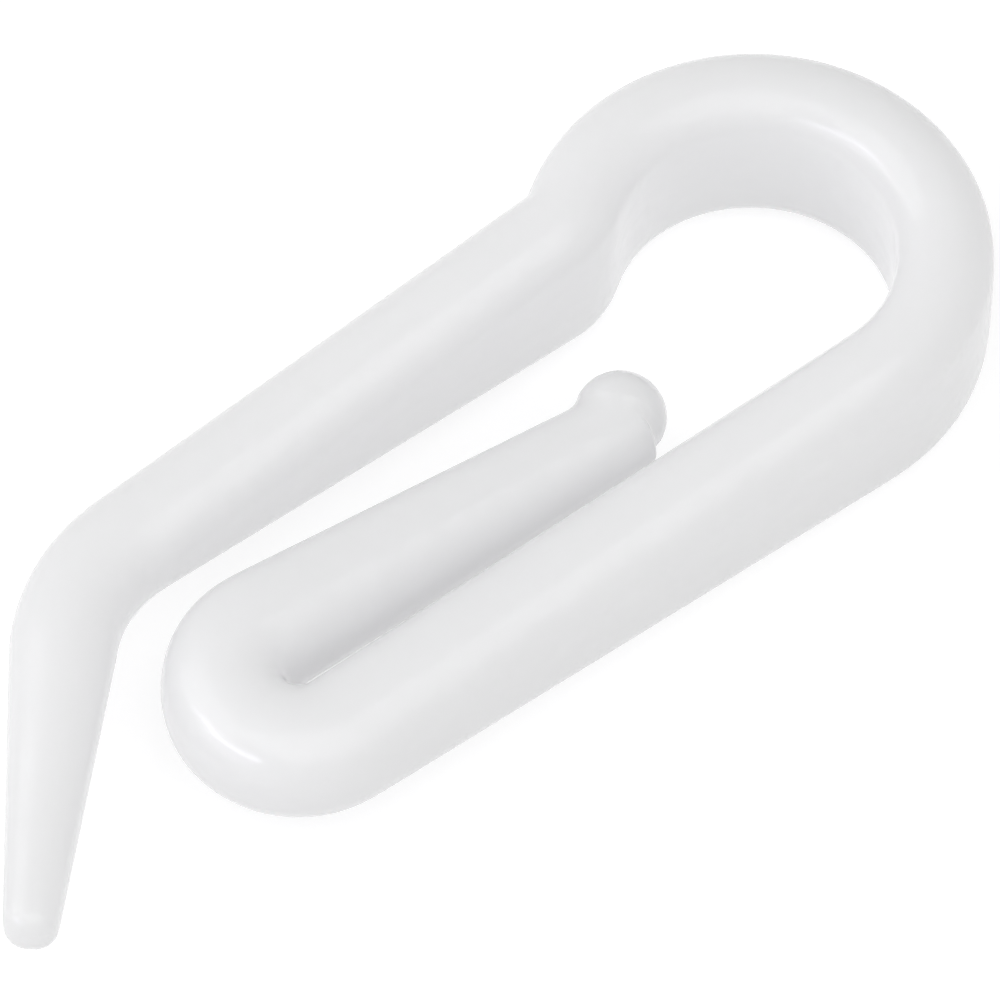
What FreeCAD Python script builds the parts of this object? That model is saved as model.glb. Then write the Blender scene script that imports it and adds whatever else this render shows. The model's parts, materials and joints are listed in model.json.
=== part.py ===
"""Plastic curtain hook, moulded in one piece.

A bar with well rounded edges is bent in one plane. A short arm with a bead at its free end turns
back into a straight spine, the spine runs into an open eye, and a springy arm leaves the eye and
ends in a cranked, tapering tail. The short arm and the spine straddle the pocket of a heading tape,
and the eye clips over the ring of a glider. The bar is widest at the turn and deepest round the eye.

Millimetres and degrees. The hook lies flat on its side: X runs along the spine towards the eye,
Y from the spine towards the springy arm, and Z across the bar.
"""
import FreeCAD, Part
import Sketcher
import math
import os

V = FreeCAD.Vector

# Driving dimensions. Every radius is that of the middle line of the bar. The corners of each
# section are rounded by one share of half its width, so that 1 gives it two half-round edges.
SIZES = {
    "short_arm_length": 11.44,
    "short_arm_lean": 2.36,
    "turn_radius": 1.86,
    "spine_length": 16.47,
    "eye_radius": 4.76,
    "eye_sweep": 217.1,
    "neck_radius": 1.67,
    "spring_arm_slope": 1.92,
    "spring_arm_length": 13.41,
    "crank_radius": 4.46,
    "crank_angle": 46.74,
    "tail_length": 8.5,
    "corner_share": 0.9,
    "short_arm_end_width": 1.91,
    "short_arm_end_depth": 2.09,
    "turn_width": 3.1,
    "turn_depth": 3.23,
    "eye_width": 2.47,
    "eye_depth": 4.81,
    "crank_width": 2.66,
    "crank_depth": 2.69,
    "tail_tip_width": 1.3,
    "tail_tip_depth": 1.42,
    "tail_tip_rounding": 0.45,
    "short_arm_end_chamfer": 0.15,
    "bead_diameter": 2.36,
    "bead_offset": 0.29,
    "bead_setback": 0.3,
}

# Where the runs and bends of the middle line meet, and the way the line heads there.
# The line is followed from the bead, round the turn, up the spine, round the eye and down the tail.
PLACES = {
    "spine_root_x": "0",
    "spine_root_y": "0",
    "spine_heading": "0",
    "spine_end_x": "=spine_length",
    "spine_end_y": "0",
    "turn_sweep": "=180 + short_arm_lean",
    "short_root_x": "=turn_radius * sin(short_arm_lean)",
    "short_root_y": "=turn_radius * (1 + cos(short_arm_lean))",
    "short_heading": "=180 - short_arm_lean",
    "short_end_x": "=short_root_x + short_arm_length * cos(short_arm_lean)",
    "short_end_y": "=short_root_y - short_arm_length * sin(short_arm_lean)",
    "bead_reach": "=short_arm_length - bead_setback",
    "bead_x": "=short_root_x + bead_reach * cos(short_arm_lean) + bead_offset * sin(short_arm_lean)",
    "bead_y": "=short_root_y - bead_reach * sin(short_arm_lean) + bead_offset * cos(short_arm_lean)",
    "neck_sweep": "=eye_sweep - 180 - spring_arm_slope",
    "eye_end_x": "=spine_length + eye_radius * sin(eye_sweep)",
    "eye_end_y": "=eye_radius * (1 - cos(eye_sweep))",
    "arm_heading": "=180 + spring_arm_slope",
    "neck_centre_x": "=eye_end_x + neck_radius * sin(eye_sweep)",
    "neck_centre_y": "=eye_end_y - neck_radius * cos(eye_sweep)",
    "arm_root_x": "=neck_centre_x + neck_radius * sin(spring_arm_slope)",
    "arm_root_y": "=neck_centre_y - neck_radius * cos(spring_arm_slope)",
    "arm_end_x": "=arm_root_x - spring_arm_length * cos(spring_arm_slope)",
    "arm_end_y": "=arm_root_y - spring_arm_length * sin(spring_arm_slope)",
    "tail_slope": "=spring_arm_slope + crank_angle",
    "tail_heading": "=180 + tail_slope",
    "crank_centre_x": "=arm_end_x + crank_radius * sin(spring_arm_slope)",
    "crank_centre_y": "=arm_end_y - crank_radius * cos(spring_arm_slope)",
    "tail_root_x": "=crank_centre_x - crank_radius * sin(tail_slope)",
    "tail_root_y": "=crank_centre_y + crank_radius * cos(tail_slope)",
    "tail_end_x": "=tail_root_x - tail_length * cos(tail_slope)",
    "tail_end_y": "=tail_root_y - tail_length * sin(tail_slope)",
}

# The straight runs of the bar: the place and the section at each end, and the heading of the run.
RUNS = {
    "spine": ("spine_root", "turn", "spine_end", "eye", "spine_heading"),
    "spring_arm": ("arm_root", "eye", "arm_end", "crank", "arm_heading"),
    "tail": ("tail_root", "crank", "tail_end", "tail_tip", "tail_heading"),
    "short_arm": ("short_end", "short_arm_end", "short_root", "turn", "short_heading"),
}

# A run tapers evenly through sections a third and two thirds of the way along it.
THIRDS = (1, 2)


def between(start, end, third):
    """Write the sheet formula for a value a third or two thirds of the way between two others."""
    return f"={start} + ({end} - {start}) * {third} / 3"


def middle_rows():
    """List the sheet rows for the places and sizes of the sections along every run."""
    rows = []
    for run_name, (start, start_size, end, end_size, _) in RUNS.items():
        for third in THIRDS:
            middle = f"{run_name}_third_{third}"
            for axis in ("x", "y"):
                rows.append((f"{middle}_{axis}", between(f"{start}_{axis}", f"{end}_{axis}", third)))
            for side in ("width", "depth"):
                rows.append((f"{middle}_{side}", between(f"{start_size}_{side}", f"{end_size}_{side}", third)))
    return rows


def make_sheet(doc):
    """Write the driving dimensions and the places worked out from them into one sheet."""
    sheet = doc.addObject("Spreadsheet::Sheet", "sizes")
    rows = list(SIZES.items()) + list(PLACES.items()) + middle_rows()
    for row, (alias, content) in enumerate(rows, start=1):
        sheet.set(f"A{row}", alias)
        sheet.set(f"B{row}", str(content))
        sheet.setAlias(f"B{row}", alias)
    doc.recompute()
    return sheet


def upright_sketch(body, name, place, heading):
    """Add a sketch that stands square across the middle line, at a place and heading of the sheet.

    Its X axis points to the left of the line as it is followed, and its Y axis points up.
    """
    planes = {feature.Role: feature for feature in body.Origin.OriginFeatures}
    sketch = body.newObject("Sketcher::SketchObject", name)
    sketch.AttachmentSupport = [(planes["XZ_Plane"], "")]
    sketch.MapMode = "FlatFace"
    sketch.AttachmentOffset = FreeCAD.Placement(V(0, 0, 0), FreeCAD.Rotation(V(0, 1, 0), 90))
    sketch.setExpression("AttachmentOffset.Base.x", f"sizes.{place}_x")
    sketch.setExpression("AttachmentOffset.Base.z", f"-sizes.{place}_y")
    sketch.setExpression("AttachmentOffset.Rotation.Angle", f"sizes.{heading} + 90")
    return sketch


def add_size(sketch, kind, points, value, name, expression):
    """Dimension a sketch between points, or over one edge, and bind the dimension to the sheet."""
    index = sketch.addConstraint(Sketcher.Constraint(kind, *points, value))
    sketch.renameConstraint(index, name)
    sketch.setExpression(f"Constraints.{name}", expression)


def bar_section(body, sheet, name, place, heading, size):
    """Draw a section of the bar: a box with rounded corners, its middle on the middle line."""
    sketch = upright_sketch(body, name, place, heading)
    half_width = sheet.get(f"{size}_width") / 2
    half_depth = sheet.get(f"{size}_depth") / 2
    corner = SIZES["corner_share"] * half_width
    flat_x = half_width - corner
    flat_y = half_depth - corner
    sides = [
        (V(half_width, -flat_y, 0), V(half_width, flat_y, 0)),
        (V(flat_x, half_depth, 0), V(-flat_x, half_depth, 0)),
        (V(-half_width, flat_y, 0), V(-half_width, -flat_y, 0)),
        (V(-flat_x, -half_depth, 0), V(flat_x, -half_depth, 0)),
    ]
    centres = [V(flat_x, flat_y, 0), V(-flat_x, flat_y, 0), V(-flat_x, -flat_y, 0), V(flat_x, -flat_y, 0)]
    lines = []
    arcs = []
    for quarter, (side, centre) in enumerate(zip(sides, centres)):
        turned = quarter * math.pi / 2
        circle = Part.Circle(centre, V(0, 0, 1), corner)
        lines.append(sketch.addGeometry(Part.LineSegment(*side), False))
        arcs.append(sketch.addGeometry(Part.ArcOfCircle(circle, turned, turned + math.pi / 2), False))

    for line, arc, following in zip(lines, arcs, lines[1:] + lines[:1]):
        sketch.addConstraint(Sketcher.Constraint("Tangent", line, 2, arc, 1))
        sketch.addConstraint(Sketcher.Constraint("Tangent", arc, 2, following, 1))
    right, top, left, bottom = lines
    for line in (right, left):
        sketch.addConstraint(Sketcher.Constraint("Vertical", line))
    for line in (top, bottom):
        sketch.addConstraint(Sketcher.Constraint("Horizontal", line))
    for arc in arcs[1:]:
        sketch.addConstraint(Sketcher.Constraint("Equal", arcs[0], arc))
    origin = (-1, 1)
    sketch.addConstraint(Sketcher.Constraint("Symmetric", arcs[0], 3, arcs[2], 3, *origin))
    across = (left, 1, right, 2)
    upward = (bottom, 1, top, 2)
    add_size(sketch, "DistanceX", across, 2 * half_width, "width", f"sizes.{size}_width")
    add_size(sketch, "DistanceY", upward, 2 * half_depth, "depth", f"sizes.{size}_depth")
    rounding = f"sizes.corner_share * sizes.{size}_width / 2"
    add_size(sketch, "Radius", (arcs[0],), corner, "corner", rounding)
    return sketch


def add_bend_axis(sketch, radius, side):
    """Draw the upright axis of a bend in the sketch of its section.

    side is 1 where the axis stands to the left of the line as it is followed, and -1 to the right.
    """
    reach = side * SIZES[radius]
    line = sketch.addGeometry(Part.LineSegment(V(reach, 0, 0), V(reach, 1, 0)), True)
    foot, top, origin = (line, 1), (line, 2), (-1, 1)
    sketch.addConstraint(Sketcher.Constraint("Vertical", line))
    sketch.addConstraint(Sketcher.Constraint("Horizontal", *origin, *foot))
    sketch.addConstraint(Sketcher.Constraint("DistanceY", *foot, *top, 1))
    near, far = (origin, foot) if side > 0 else (foot, origin)
    add_size(sketch, "DistanceX", near + far, SIZES[radius], "bend_radius", f"sizes.{radius}")


def bend(body, sheet, name, place, heading, size, radius, sweep, side=1):
    """Turn a constant section of the bar about the axis of a bend."""
    section = bar_section(body, sheet, f"{name}_section", place, heading, size)
    add_bend_axis(section, radius, side)
    feature = body.newObject("PartDesign::Revolution", name)
    feature.Profile = section
    feature.ReferenceAxis = (section, ["Axis0"])
    feature.Reversed = side < 0
    feature.setExpression("Angle", f"sizes.{sweep}")
    body.Document.recompute()
    return feature


def run(body, sheet, name):
    """Loft a straight, tapering stretch of the bar through its four sections."""
    start, start_size, end, end_size, heading = RUNS[name]
    stations = [(start, start_size)]
    for third in THIRDS:
        stations.append((f"{name}_third_{third}", f"{name}_third_{third}"))
    stations.append((end, end_size))
    sections = []
    for number, (place, size) in enumerate(stations, start=1):
        sections.append(bar_section(body, sheet, f"{name}_section_{number}", place, heading, size))
    feature = body.newObject("PartDesign::AdditiveLoft", name)
    feature.Profile = sections[0]
    feature.Sections = sections[1:]
    feature.Ruled = True
    body.Document.recompute()
    return feature


def add_bead(body):
    """Put the round bead on the short arm, a little short of its cut end."""
    planes = {feature.Role: feature for feature in body.Origin.OriginFeatures}
    bead = body.newObject("PartDesign::AdditiveSphere", "bead")
    bead.AttachmentSupport = [(planes["XY_Plane"], "")]
    bead.MapMode = "FlatFace"
    bead.setExpression("Radius", "sizes.bead_diameter / 2")
    bead.setExpression("AttachmentOffset.Base.x", "sizes.bead_x")
    bead.setExpression("AttachmentOffset.Base.y", "sizes.bead_y")
    body.Document.recompute()
    return bead


def end_edges(shape, sheet, end, heading):
    """Name the edges that bound the flat face across the bar at one of its free ends."""
    point = V(sheet.get(f"{end}_x"), sheet.get(f"{end}_y"), 0)
    angle = FreeCAD.Rotation(V(0, 0, 1), sheet.get(heading))
    along = angle.multVec(V(1, 0, 0))
    slack = 0.001
    names = []
    for index, edge in enumerate(shape.Edges, start=1):
        flat = all(abs((vertex.Point - point).dot(along)) < slack for vertex in edge.Vertexes)
        if flat and abs((edge.CenterOfMass - point).dot(along)) < slack:
            names.append(f"Edge{index}")
    return names


def ease_end(body, sheet, name, end, heading, kind, dimension, size):
    """Take the sharpness off the rim of a free end of the bar, with a fillet or a chamfer."""
    base = body.Tip
    feature = body.newObject(kind, name)
    feature.Base = (base, end_edges(base.Shape, sheet, end, heading))
    feature.setExpression(dimension, f"sizes.{size}")
    body.Document.recompute()
    return feature


def make_hook(doc, sheet):
    """Build the hook along its middle line, from the turn both ways to the two free ends."""
    body = doc.addObject("PartDesign::Body", "curtain_hook")
    bend(body, sheet, "turn", "short_root", "short_heading", "turn", "turn_radius", "turn_sweep")
    run(body, sheet, "spine")
    bend(body, sheet, "eye", "spine_end", "spine_heading", "eye", "eye_radius", "eye_sweep")
    bend(body, sheet, "neck", "eye_end", "eye_sweep", "eye", "neck_radius", "neck_sweep", side=-1)
    run(body, sheet, "spring_arm")
    bend(body, sheet, "crank", "arm_end", "arm_heading", "crank", "crank_radius", "crank_angle")
    run(body, sheet, "tail")
    run(body, sheet, "short_arm")
    tail_rim = ("tail_tip_rim", "tail_end", "tail_heading")
    ease_end(body, sheet, *tail_rim, "PartDesign::Fillet", "Radius", "tail_tip_rounding")
    arm_rim = ("short_arm_rim", "short_end", "short_heading")
    ease_end(body, sheet, *arm_rim, "PartDesign::Chamfer", "Size", "short_arm_end_chamfer")
    add_bead(body)
    return body


def lay_on_side(body):
    """Lay the hook on the ground plane, with the middle of its outline over the origin."""
    box = body.Shape.optimalBoundingBox()
    body.Placement = FreeCAD.Placement(V(-box.Center.x, -box.Center.y, -box.ZMin), FreeCAD.Rotation())
    body.Document.recompute()


def check(doc, body):
    """Stop if an object failed, or if the hook is not one sound solid."""
    for item in doc.Objects:
        if "Invalid" in item.State or "Error" in item.State:
            raise RuntimeError(f"{item.Name} failed: {item.State}")
    shape = body.Shape
    if shape.isNull() or not shape.isValid() or len(shape.Solids) != 1:
        raise RuntimeError(f"{body.Label} is not one sound solid")


doc = FreeCAD.newDocument("curtain_hook_model")
sheet = make_sheet(doc)
hook = make_hook(doc, sheet)
lay_on_side(hook)
check(doc, hook)

os.makedirs("parts", exist_ok=True)
hook.Shape.exportStep(f"parts/{hook.Label}.step")
box = hook.Shape.optimalBoundingBox()
print(f"{hook.Label}: {box.XLength:.2f} x {box.YLength:.2f} x {box.ZLength:.2f} mm, {hook.Shape.Volume:.1f} mm3")
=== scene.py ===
import json
import math
from collections import namedtuple

import bmesh
import bpy
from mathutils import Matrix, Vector

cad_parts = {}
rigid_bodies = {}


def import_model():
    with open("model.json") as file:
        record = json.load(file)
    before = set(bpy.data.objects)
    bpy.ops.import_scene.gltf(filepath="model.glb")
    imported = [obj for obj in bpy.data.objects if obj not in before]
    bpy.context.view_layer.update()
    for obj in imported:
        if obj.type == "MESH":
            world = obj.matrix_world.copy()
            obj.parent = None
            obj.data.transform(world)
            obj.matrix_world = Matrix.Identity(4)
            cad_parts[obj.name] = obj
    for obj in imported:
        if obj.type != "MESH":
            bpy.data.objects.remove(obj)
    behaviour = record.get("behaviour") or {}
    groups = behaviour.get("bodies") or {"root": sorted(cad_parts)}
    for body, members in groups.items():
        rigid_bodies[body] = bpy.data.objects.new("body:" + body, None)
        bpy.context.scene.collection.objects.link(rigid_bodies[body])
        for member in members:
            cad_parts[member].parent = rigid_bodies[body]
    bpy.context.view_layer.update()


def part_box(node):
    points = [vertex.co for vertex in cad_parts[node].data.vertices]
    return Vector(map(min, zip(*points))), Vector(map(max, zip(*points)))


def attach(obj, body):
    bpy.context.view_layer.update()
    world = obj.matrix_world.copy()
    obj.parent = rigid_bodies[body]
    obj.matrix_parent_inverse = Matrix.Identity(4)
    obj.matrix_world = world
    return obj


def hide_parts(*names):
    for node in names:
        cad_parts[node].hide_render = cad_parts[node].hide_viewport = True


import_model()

bl_info = {
    "name": "Curtain hook",
    "version": (1, 0, 0),
    "blender": (4, 5, 0),
    "location": "View3D > Sidebar > Curtain hook",
    "description": "A curtain hook moulded in milky white plastic, on a pale floor",
    "category": "Object",
}

NODE = "curtain_hook"
BODY = "root"

MM = 0.001
UP = (0.0, 0.0, 1.0)
WHITE = (1.0, 1.0, 1.0, 1.0)

# Steps of the bar
CORNER_STEPS = 5
RUN_CUTS = 12
TURN_STEPS = 22
EYE_STEPS = 36
NECK_STEPS = 8
CRANK_STEPS = 9
END_STEPS = 4
SMOOTHING = 2
BEAD_SEGMENTS = 64
BEAD_RINGS = 32

# Smoothing draws a ring in by a little, so each one starts wider by this factor
SWELL = 1.008

# A corner belongs to the ring at a station when it is this near its plane and its middle
TOUCHING = 0.002 * MM
RING_REACH = 3.0 * MM

MERGING = 0.0002 * MM
END_INSET = 0.08 * MM

# The seam of the bead: where it creases, what is merged there, and how it is smoothed
SEAM_CREASE = math.radians(12.0)
SEAM_SLIVER = 0.03 * MM
SEAM_GROWTH = 3
SEAM_PULL = 0.5
SEAM_PASSES = 20

PLASTIC_IOR = 1.5
GLOW_REACH = (1.0, 0.97, 1.0)
POLISH_FROM = 0.3
POLISH_TO = 0.7

SENSOR_WIDTH = 36.0
NEAREST_SEEN = 0.01
FARTHEST_SEEN = 20.0

Lamp = namedtuple("Lamp", "name place width height power only_shine tinted")
LAMPS = (
    Lamp("front_softbox", (-0.085, -0.318, 0.618), 0.80, 0.80, 2.0, False, False),
    Lamp("back_softbox", (-0.423, 0.355, 0.431), 0.72, 0.72, 1.6, False, False),
    Lamp("left_softbox", (-0.660, 0.000, 0.235), 0.50, 0.40, 0.5, False, True),
    Lamp("left_strip", (-0.621, 0.054, 0.318), 0.70, 0.04, 0.9, True, True),
)


# Settings

def length(name, description, millimetres):
    return bpy.props.FloatProperty(
        name=name, description=description, default=millimetres * MM, unit="LENGTH", precision=5
    )


def angle(name, description, degrees):
    return bpy.props.FloatProperty(
        name=name, description=description, default=math.radians(degrees), unit="ROTATION"
    )


def share(name, description, value):
    return bpy.props.FloatProperty(
        name=name, description=description, default=value, min=0.0, max=1.0, subtype="FACTOR"
    )


def amount(name, description, value):
    return bpy.props.FloatProperty(name=name, description=description, default=value, min=0.0)


def colour(name, description, value):
    return bpy.props.FloatVectorProperty(
        name=name, description=description, default=value, min=0.0, max=1.0, subtype="COLOR"
    )


class HookSizes(bpy.types.PropertyGroup):
    """Sizes of the moulded bar. Every radius is that of the bar's middle line."""

    short_arm_length: length("Short arm length", "From the turn to the arm's cut end", 11.30)
    short_arm_lean: angle("Short arm lean", "How far the short arm leans to the spine", 2.86)
    turn_radius: length("Turn radius", "Radius of the turn from the short arm to the spine", 1.845)
    spine_length: length("Spine length", "From the turn to the eye", 16.47)
    eye_radius: length("Eye radius", "Radius of the eye", 4.76)
    eye_sweep: angle("Eye sweep", "How far the bar turns round the eye", 217.1)
    neck_radius: length("Neck radius", "Radius of the bend back into the springy arm", 1.67)
    spring_arm_slope: angle("Springy arm slope", "How far it closes in on the spine", 1.92)
    spring_arm_length: length("Springy arm length", "From the neck to the crank", 13.41)
    crank_radius: length("Crank radius", "Radius of the bend into the tail", 4.46)
    crank_angle: angle("Crank angle", "How far the tail turns off the springy arm", 46.74)
    tail_length: length("Tail length", "From the crank to the tip", 8.5)
    corner_share: share("Corner share", "Corner radius of a section, over half its width", 0.9)
    arm_end_width: length("Arm end width", "Width of the short arm at its cut end", 2.14)
    arm_end_depth: length("Arm end depth", "Depth of the short arm at its cut end", 2.09)
    turn_width: length("Turn width", "Width of the bar at the turn", 3.1)
    turn_depth: length("Turn depth", "Depth of the bar at the turn", 3.23)
    eye_width: length("Eye width", "Width of the bar round the eye", 2.47)
    eye_depth: length("Eye depth", "Depth of the bar round the eye", 4.81)
    crank_width: length("Crank width", "Width of the bar at the crank", 2.66)
    crank_depth: length("Crank depth", "Depth of the bar at the crank", 2.69)
    tip_width: length("Tip width", "Width of the tail at its tip", 1.3)
    tip_depth: length("Tip depth", "Depth of the tail at its tip", 1.42)
    tip_rounding: length("Tip rounding", "Radius of the rim of the tail's tip", 0.45)
    arm_end_rounding: length("Arm end rounding", "Radius of the rim of the arm's cut end", 0.15)
    bead_diameter: length("Bead diameter", "Diameter of the bead on the short arm", 2.36)
    bead_offset: length("Bead offset", "From the arm's middle line out to the bead's middle", 0.405)
    bead_setback: length("Bead setback", "From the arm's cut end back to the bead's middle", 0.16)


class PlasticLook(bpy.types.PropertyGroup):
    """The milky plastic that the hook is moulded from."""

    clear_colour: colour("Clear colour", "Where the plastic is clearest", (0.86, 0.86, 0.875))
    milky_colour: colour("Milky colour", "Where the plastic is whitest", (0.91, 0.91, 0.92))
    cloud_size: length("Cloud size", "Length over which the milkiness comes and goes", 5.0)
    glow: share("Glow", "Share of the light that goes under the skin", 1.0)
    glow_depth: length("Glow depth", "How far light travels under the skin", 6.0)
    polished: share("Roughness where polished", "Where the mould was smoothest", 0.16)
    dull: share("Roughness where dull", "Where the mould was coarsest", 0.26)
    dull_size: length("Dull patch size", "Length over which the polish comes and goes", 3.2)
    ripple_size: length("Ripple size", "Width of the shallow waves in the skin", 1.1)
    ripple_depth: length("Ripple depth", "Depth of the shallow waves in the skin", 0.04)


class StageSettings(bpy.types.PropertyGroup):
    """The floor, the lights and the camera."""

    floor_width: length("Floor width", "Width of the floor", 4000.0)
    floor_colour: colour("Floor colour", "Colour that the floor throws back", (0.4, 0.4, 0.4))
    floor_shown: colour("Floor shade", "Shown white that a shadow dims", (0.6, 0.6, 0.6))
    floor_glow: amount("Floor glow", "Shown white that no shadow dims", 0.57)
    floor_light: amount("Floor light", "Light that the floor gives the hook from below", 0.40)
    sky_strength: amount("Sky strength", "Light that comes from all round", 0.44)
    left_tint: colour("Left tint", "Colour of the light from the left", (0.88, 0.86, 1.0))
    lens: bpy.props.FloatProperty(
        name="Lens", description="Focal length of the camera", default=386.06, unit="CAMERA"
    )
    camera_place: bpy.props.FloatVectorProperty(
        name="Camera place",
        description="Where the camera stands",
        default=(-0.090476, -0.120161, 0.222992),
        subtype="TRANSLATION",
        precision=6,
    )
    camera_turn: bpy.props.FloatVectorProperty(
        name="Camera turn",
        description="How the camera is turned",
        default=[math.radians(turned) for turned in (34.222, -0.3361, -37.0924)],
        subtype="EULER",
    )


# Modelling steps

Station = namedtuple("Station", "place heading")
Bend = namedtuple("Bend", "centre sweep side")


def deselect_all():
    for item in bpy.context.selected_objects:
        item.select_set(False)


def make_active(item):
    deselect_all()
    item.select_set(True)
    bpy.context.view_layer.objects.active = item


def forward_of(heading):
    """The level direction of a heading."""
    return Vector((math.cos(heading), math.sin(heading), 0.0))


def left_of(heading):
    """The level direction to the left of a heading."""
    return Vector((-math.sin(heading), math.cos(heading), 0.0))


def ahead(station, distance):
    """The station that far along a straight run."""
    return Station(station.place + forward_of(station.heading) * distance, station.heading)


def bend_from(station, radius, sweep, side):
    """The bend that starts at a station, and the station where it ends.

    side is 1 for a bend to the left and -1 for one to the right.
    """
    centre = station.place + left_of(station.heading) * radius * side
    heading = station.heading + sweep * side
    end = Station(centre - left_of(heading) * radius * side, heading)
    return Bend(centre, sweep, side), end


def add_section(station, width, depth, corner):
    """A ring across the bar: a plane with rounded corners and no face, stood up at a station."""
    deselect_all()
    bpy.ops.mesh.primitive_plane_add(size=1.0, location=(0.0, 0.0, 0.0))
    ring = bpy.context.object
    ring.scale = (width * SWELL, depth, 1.0)
    bpy.ops.object.transform_apply(location=False, rotation=False, scale=True)
    bpy.ops.object.mode_set(mode="EDIT")
    bpy.ops.mesh.select_all(action="SELECT")
    bpy.ops.mesh.bevel(offset=corner * SWELL, segments=CORNER_STEPS, affect="VERTICES")
    bpy.ops.mesh.delete(type="ONLY_FACE")
    bpy.ops.object.mode_set(mode="OBJECT")
    ring.rotation_euler = (math.pi / 2, 0.0, station.heading + math.pi / 2)
    ring.location = station.place
    bpy.ops.object.transform_apply(location=True, rotation=True, scale=True)
    return ring


def join_to(bar, ring):
    """Make a new ring part of the bar's mesh."""
    make_active(bar)
    ring.select_set(True)
    bpy.ops.object.join()


def select_rings(bar, *stations):
    """Go into edit mode with only the rings at some stations selected."""
    make_active(bar)
    bpy.ops.object.mode_set(mode="EDIT")
    bpy.ops.mesh.select_mode(type="VERT")
    bpy.ops.mesh.select_all(action="DESELECT")
    shape = bmesh.from_edit_mesh(bar.data)
    for station in stations:
        forward = forward_of(station.heading)
        found = False
        for corner in shape.verts:
            away = corner.co - station.place
            if abs(away.dot(forward)) < TOUCHING and away.length < RING_REACH:
                corner.select_set(True)
                found = True
        if not found:
            raise RuntimeError("The bar has no ring where the next step needs one")
    shape.select_flush_mode()
    bmesh.update_edit_mesh(bar.data)


def bridge(bar, first, last, cuts):
    """Join two rings by a straight stretch of faces."""
    select_rings(bar, first, last)
    bpy.ops.mesh.bridge_edge_loops(number_cuts=cuts, interpolation="LINEAR", smoothness=0.0)
    bpy.ops.object.mode_set(mode="OBJECT")


def spin(bar, station, bend, steps):
    """Turn the ring at a station about the middle of a bend. The operator turns clockwise."""
    select_rings(bar, station)
    turned = -bend.sweep * bend.side
    bpy.ops.mesh.spin(
        steps=steps, angle=turned, center=bend.centre, axis=UP, use_auto_merge=False
    )
    bpy.ops.object.mode_set(mode="OBJECT")


def close_end(bar, station):
    """Close the bar's end with a face that has a narrow border."""
    select_rings(bar, station)
    bpy.ops.mesh.edge_face_add()
    bpy.ops.mesh.inset(thickness=END_INSET)
    bpy.ops.object.mode_set(mode="OBJECT")


def apply_modifier(item, kind, **values):
    modifier = item.modifiers.new(kind.title(), kind)
    for name, value in values.items():
        setattr(modifier, name, value)
    make_active(item)
    bpy.ops.object.modifier_apply(modifier=modifier.name)


# Materials

def add_node(tree, kind, **values):
    """A shader node of that kind, with its named inputs set."""
    node = tree.nodes.new(kind)
    for name, value in values.items():
        node.inputs[name.replace("_", " ")].default_value = value
    return node


def noise(tree, place, size, detail, roughness):
    """The value of a noise whose cells are about that size."""
    node = add_node(
        tree, "ShaderNodeTexNoise", Scale=1.0 / size, Detail=detail, Roughness=roughness
    )
    tree.links.new(place, node.inputs["Vector"])
    return node.outputs["Fac"]


def make_milky_plastic(look):
    """Moulded plastic: cloudy inside, with shallow ripples and an uneven polish on its skin."""
    material = bpy.data.materials.new("milky_plastic")
    material.use_nodes = True
    tree = material.node_tree
    join = tree.links.new
    shader = tree.nodes["Principled BSDF"]
    place = tree.nodes.new("ShaderNodeTexCoord").outputs["Object"]

    tone = tree.nodes.new("ShaderNodeMix")
    tone.data_type = "RGBA"
    share_in, clear_in, milky_in = [tone.inputs[number] for number in (0, 6, 7)]
    clear_in.default_value = (*look.clear_colour, 1.0)
    milky_in.default_value = (*look.milky_colour, 1.0)
    join(noise(tree, place, look.cloud_size, detail=2.0, roughness=0.5), share_in)
    join(tone.outputs[2], shader.inputs["Base Color"])

    polish = add_node(
        tree,
        "ShaderNodeMapRange",
        From_Min=POLISH_FROM,
        From_Max=POLISH_TO,
        To_Min=look.polished,
        To_Max=look.dull,
    )
    patches = noise(tree, place, look.dull_size, detail=3.0, roughness=0.6)
    join(patches, polish.inputs["Value"])
    join(polish.outputs["Result"], shader.inputs["Roughness"])

    ripple = add_node(tree, "ShaderNodeBump", Strength=1.0, Distance=look.ripple_depth)
    waves = noise(tree, place, look.ripple_size, detail=1.5, roughness=0.45)
    join(waves, ripple.inputs["Height"])
    join(ripple.outputs["Normal"], shader.inputs["Normal"])

    shader.inputs["IOR"].default_value = PLASTIC_IOR
    shader.inputs["Subsurface Weight"].default_value = look.glow
    shader.inputs["Subsurface Radius"].default_value = GLOW_REACH
    shader.inputs["Subsurface Scale"].default_value = look.glow_depth
    return material


def seen_directly(tree):
    """A value that is 1 for what the camera sees, straight, in a reflection or through glass."""
    path = tree.nodes.new("ShaderNodeLightPath")
    value = path.outputs["Is Camera Ray"]
    for name in ("Is Glossy Ray", "Is Transmission Ray"):
        either = tree.nodes.new("ShaderNodeMath")
        either.operation = "MAXIMUM"
        tree.links.new(value, either.inputs[0])
        tree.links.new(path.outputs[name], either.inputs[1])
        value = either.outputs[0]
    return value


def lit_paper(tree, colour_back, light):
    """A dull sheet that throws back one colour and gives some white light of its own."""
    paper = add_node(tree, "ShaderNodeBsdfDiffuse", Color=(*colour_back, 1.0))
    glow = add_node(tree, "ShaderNodeEmission", Color=WHITE, Strength=light)
    both = tree.nodes.new("ShaderNodeAddShader")
    tree.links.new(paper.outputs["BSDF"], both.inputs[0])
    tree.links.new(glow.outputs["Emission"], both.inputs[1])
    return both.outputs["Shader"]


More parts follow.
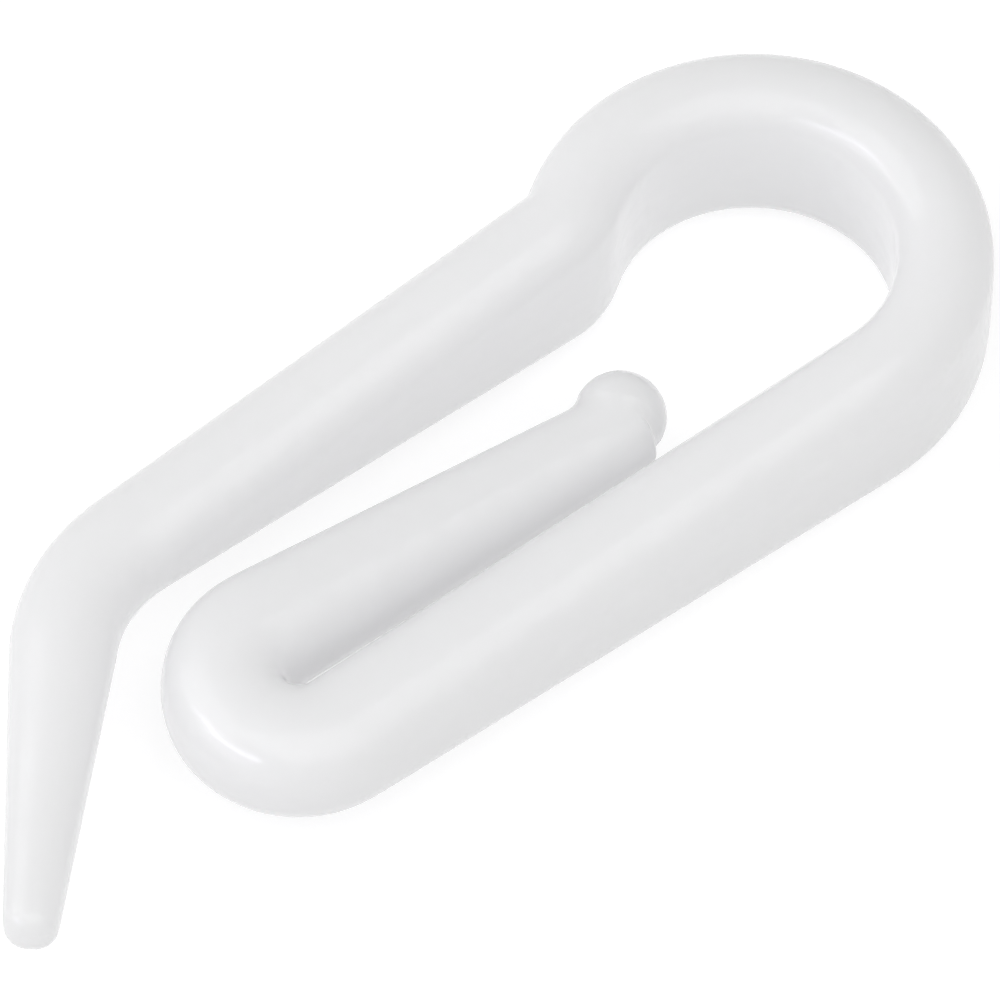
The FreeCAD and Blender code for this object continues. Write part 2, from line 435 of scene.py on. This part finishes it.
def make_floor_paper(stage):
    """Pale paper that shows white to the camera and keeps a faint shadow of the hook."""
    material = bpy.data.materials.new("floor_paper")
    material.use_nodes = True
    tree = material.node_tree
    join = tree.links.new
    tree.nodes.remove(tree.nodes["Principled BSDF"])
    mix = tree.nodes.new("ShaderNodeMixShader")
    join(seen_directly(tree), mix.inputs[0])
    join(lit_paper(tree, stage.floor_colour, stage.floor_light), mix.inputs[1])
    join(lit_paper(tree, stage.floor_shown, stage.floor_glow), mix.inputs[2])
    join(mix.outputs["Shader"], tree.nodes["Material Output"].inputs["Surface"])
    return material


# Hook

Way = namedtuple(
    "Way",
    "short_end short_root turn spine_root spine_end eye eye_end neck"
    " arm_root arm_end crank tail_root tail_end",
)


def lay_out(sizes):
    """The stations and bends of the bar's middle line, placed by the CAD solid's box."""
    low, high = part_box(NODE)
    root_x = high.x - sizes.eye_width / 2 - sizes.eye_radius - sizes.spine_length
    root_y = low.y + sizes.turn_width / 2
    spine_root = Station(Vector((root_x, root_y, (low.z + high.z) / 2)), 0.0)
    turn_sweep = math.pi + sizes.short_arm_lean
    turn_back, short_root = bend_from(spine_root, sizes.turn_radius, -turn_sweep, 1)
    turn = Bend(turn_back.centre, turn_sweep, 1)
    short_end = ahead(short_root, -sizes.short_arm_length)
    spine_end = ahead(spine_root, sizes.spine_length)
    eye, eye_end = bend_from(spine_end, sizes.eye_radius, sizes.eye_sweep, 1)
    neck_sweep = sizes.eye_sweep - math.pi - sizes.spring_arm_slope
    neck, arm_root = bend_from(eye_end, sizes.neck_radius, neck_sweep, -1)
    arm_end = ahead(arm_root, sizes.spring_arm_length)
    crank, tail_root = bend_from(arm_end, sizes.crank_radius, sizes.crank_angle, 1)
    tail_end = ahead(tail_root, sizes.tail_length)
    return Way(
        short_end, short_root, turn, spine_root, spine_end, eye, eye_end, neck,
        arm_root, arm_end, crank, tail_root, tail_end,
    )


def mixed(first, last, part):
    return first + (last - first) * part


def add_run(bar, sizes, start, end, width, depth):
    """Lengthen the bar from its open ring at one station to a new ring at the next."""
    join_to(bar, add_section(end, width, depth, sizes.corner_share * width / 2))
    bridge(bar, start, end, RUN_CUTS)


def end_rings(sizes, end, outward, run_length, root_size, end_size, rounding):
    """Rings that round the rim of a free end, from the full bar to its flat end face.

    outward is 1 where the bar ends ahead of the station, and -1 where it begins there.
    """
    rings = []
    for step in range(END_STEPS + 1):
        turned = step / END_STEPS * math.pi / 2
        back = rounding * (1 - math.sin(turned))
        inset = rounding * (1 - math.cos(turned))
        part = 1 - back / run_length
        width, depth = [mixed(root, tip, part) for root, tip in zip(root_size, end_size)]
        corner = sizes.corner_share * width / 2 - inset
        place = ahead(end, -outward * back)
        rings.append((place, width - 2 * inset, depth - 2 * inset, corner))
    return rings


def model_bar(sizes, way):
    """The bar as one closed mesh, before it is smoothed."""
    turn_size = (sizes.turn_width, sizes.turn_depth)
    eye_size = (sizes.eye_width, sizes.eye_depth)
    crank_size = (sizes.crank_width, sizes.crank_depth)
    arm_end_size = (sizes.arm_end_width, sizes.arm_end_depth)
    tip_size = (sizes.tip_width, sizes.tip_depth)

    arm_rings = end_rings(
        sizes,
        way.short_end,
        -1,
        sizes.short_arm_length,
        turn_size,
        arm_end_size,
        sizes.arm_end_rounding,
    )
    arm_rings.reverse()
    bar = add_section(*arm_rings[0])
    bar.name = "moulded_hook"
    for (station, *_), ring in zip(arm_rings, arm_rings[1:]):
        join_to(bar, add_section(*ring))
        bridge(bar, station, ring[0], 0)
    close_end(bar, arm_rings[0][0])
    add_run(bar, sizes, arm_rings[-1][0], way.short_root, *turn_size)
    spin(bar, way.short_root, way.turn, TURN_STEPS)
    add_run(bar, sizes, way.spine_root, way.spine_end, *eye_size)
    spin(bar, way.spine_end, way.eye, EYE_STEPS)
    spin(bar, way.eye_end, way.neck, NECK_STEPS)
    add_run(bar, sizes, way.arm_root, way.arm_end, *crank_size)
    spin(bar, way.arm_end, way.crank, CRANK_STEPS)
    tip_rings = end_rings(
        sizes, way.tail_end, 1, sizes.tail_length, crank_size, tip_size, sizes.tip_rounding
    )
    station = way.tail_root
    cuts = RUN_CUTS
    for ring in tip_rings:
        join_to(bar, add_section(*ring))
        bridge(bar, station, ring[0], cuts)
        station = ring[0]
        cuts = 0
    close_end(bar, station)

    bpy.ops.object.mode_set(mode="EDIT")
    bpy.ops.mesh.select_all(action="SELECT")
    bpy.ops.mesh.remove_doubles(threshold=MERGING)
    bpy.ops.mesh.normals_make_consistent(inside=False)
    bpy.ops.object.mode_set(mode="OBJECT")
    return bar


def soften_seam(bar, middle, reach):
    """Smooth the crease where the bead meets the arm."""
    make_active(bar)
    bpy.ops.object.mode_set(mode="EDIT")
    bpy.ops.mesh.select_mode(type="EDGE")
    bpy.ops.mesh.select_all(action="DESELECT")
    bpy.ops.mesh.edges_select_sharp(sharpness=SEAM_CREASE)
    bpy.ops.mesh.select_mode(type="VERT")
    shape = bmesh.from_edit_mesh(bar.data)
    for corner in shape.verts:
        if (corner.co - middle).length > reach:
            corner.select_set(False)
    shape.select_flush_mode()
    bmesh.update_edit_mesh(bar.data)
    for _ in range(SEAM_GROWTH):
        bpy.ops.mesh.select_more()
    bpy.ops.mesh.remove_doubles(threshold=SEAM_SLIVER)
    bpy.ops.mesh.vertices_smooth(factor=SEAM_PULL, repeat=SEAM_PASSES)
    bpy.ops.object.mode_set(mode="OBJECT")


def add_bead(bar, sizes, short_end):
    """Fuse the round bead to the short arm, a little short of its cut end."""
    foot = ahead(short_end, sizes.bead_setback)
    place = foot.place - left_of(foot.heading) * sizes.bead_offset
    deselect_all()
    bpy.ops.mesh.primitive_uv_sphere_add(
        segments=BEAD_SEGMENTS,
        ring_count=BEAD_RINGS,
        radius=sizes.bead_diameter / 2,
        location=place,
    )
    bead = bpy.context.object
    corners_before = len(bar.data.vertices)
    apply_modifier(bar, "BOOLEAN", operation="UNION", solver="EXACT", object=bead)
    if len(bar.data.vertices) == corners_before:
        raise RuntimeError("The bead didn't join the short arm")
    bpy.data.objects.remove(bead)
    soften_seam(bar, place, sizes.bead_diameter)


class HOOK_OT_body(bpy.types.Operator):
    """Model the hook as one bar, from the cut end of the short arm to the tip of the tail"""

    bl_idname = "hook.body"
    bl_label = "Hook body"

    def execute(self, context):
        sizes = context.scene.hook_sizes
        way = lay_out(sizes)
        bar = model_bar(sizes, way)
        apply_modifier(bar, "SUBSURF", levels=SMOOTHING, render_levels=SMOOTHING)
        add_bead(bar, sizes, way.short_end)
        make_active(bar)
        bpy.ops.object.shade_smooth()
        bar.data.materials.clear()
        bar.data.materials.append(make_milky_plastic(context.scene.hook_plastic))
        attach(bar, BODY)
        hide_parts(NODE)
        return {"FINISHED"}


# Stage

def add_floor(stage):
    """A plain pale floor, wide enough to fill every view."""
    deselect_all()
    bpy.ops.mesh.primitive_plane_add(size=stage.floor_width, location=(0.0, 0.0, 0.0))
    floor = bpy.context.object
    floor.name = "floor"
    floor.data.materials.append(make_floor_paper(stage))


def add_room(scene, stage):
    """A room that looks white and lights the hook softly from all round."""
    world = bpy.data.worlds.new("white_room")
    scene.world = world
    world.use_nodes = True
    tree = world.node_tree
    back = tree.nodes["Background"]
    back.inputs["Color"].default_value = WHITE
    strength = add_node(tree, "ShaderNodeMapRange", To_Min=stage.sky_strength, To_Max=1.0)
    tree.links.new(seen_directly(tree), strength.inputs["Value"])
    tree.links.new(strength.outputs["Result"], back.inputs["Strength"])


def add_lamp(sheet, tint):
    """A soft sheet of light that faces the hook, or one that only gives it a highlight."""
    bpy.ops.object.light_add(type="AREA", location=sheet.place)
    lamp = bpy.context.object
    lamp.name = sheet.name
    lamp.data.shape = "RECTANGLE"
    lamp.data.size = sheet.width
    lamp.data.size_y = sheet.height
    lamp.data.energy = sheet.power
    lamp.visible_diffuse = not sheet.only_shine
    if sheet.tinted:
        lamp.data.color = tint
    lamp.rotation_euler = (-Vector(sheet.place)).to_track_quat("-Z", "Y").to_euler()


def add_camera(scene, stage):
    """The camera, where the photograph was taken from."""
    bpy.ops.object.camera_add(location=stage.camera_place, rotation=stage.camera_turn)
    camera = bpy.context.object
    camera.name = "camera"
    camera.data.lens = stage.lens
    camera.data.sensor_width = SENSOR_WIDTH
    camera.data.clip_start = NEAREST_SEEN
    camera.data.clip_end = FARTHEST_SEEN
    scene.camera = camera


class HOOK_OT_stage(bpy.types.Operator):
    """Make the floor, the lights and the camera"""

    bl_idname = "hook.stage"
    bl_label = "Stage"

    def execute(self, context):
        stage = context.scene.hook_stage
        add_floor(stage)
        add_room(context.scene, stage)
        for sheet in LAMPS:
            add_lamp(sheet, stage.left_tint)
        add_camera(context.scene, stage)
        context.scene.view_settings.view_transform = "Standard"
        return {"FINISHED"}


class HOOK_PT_panel(bpy.types.Panel):
    """The sizes of the hook and the steps that make it"""

    bl_label = "Curtain hook"
    bl_idname = "HOOK_PT_panel"
    bl_space_type = "VIEW_3D"
    bl_region_type = "UI"
    bl_category = "Curtain hook"

    def draw(self, context):
        scene = context.scene
        for settings in (scene.hook_sizes, scene.hook_plastic, scene.hook_stage):
            box = self.layout.box()
            for name in settings.__annotations__:
                box.prop(settings, name)
        for operator in (HOOK_OT_body, HOOK_OT_stage):
            self.layout.operator(operator.bl_idname)


CLASSES = (HookSizes, PlasticLook, StageSettings, HOOK_OT_body, HOOK_OT_stage, HOOK_PT_panel)


def register():
    for item in CLASSES:
        bpy.utils.register_class(item)
    bpy.types.Scene.hook_sizes = bpy.props.PointerProperty(type=HookSizes)
    bpy.types.Scene.hook_plastic = bpy.props.PointerProperty(type=PlasticLook)
    bpy.types.Scene.hook_stage = bpy.props.PointerProperty(type=StageSettings)


def unregister():
    del bpy.types.Scene.hook_stage
    del bpy.types.Scene.hook_plastic
    del bpy.types.Scene.hook_sizes
    for item in reversed(CLASSES):
        bpy.utils.unregister_class(item)


def main():
    register()
    bpy.ops.hook.body()
    bpy.ops.hook.stage()


if __name__ == "__main__":
    main()
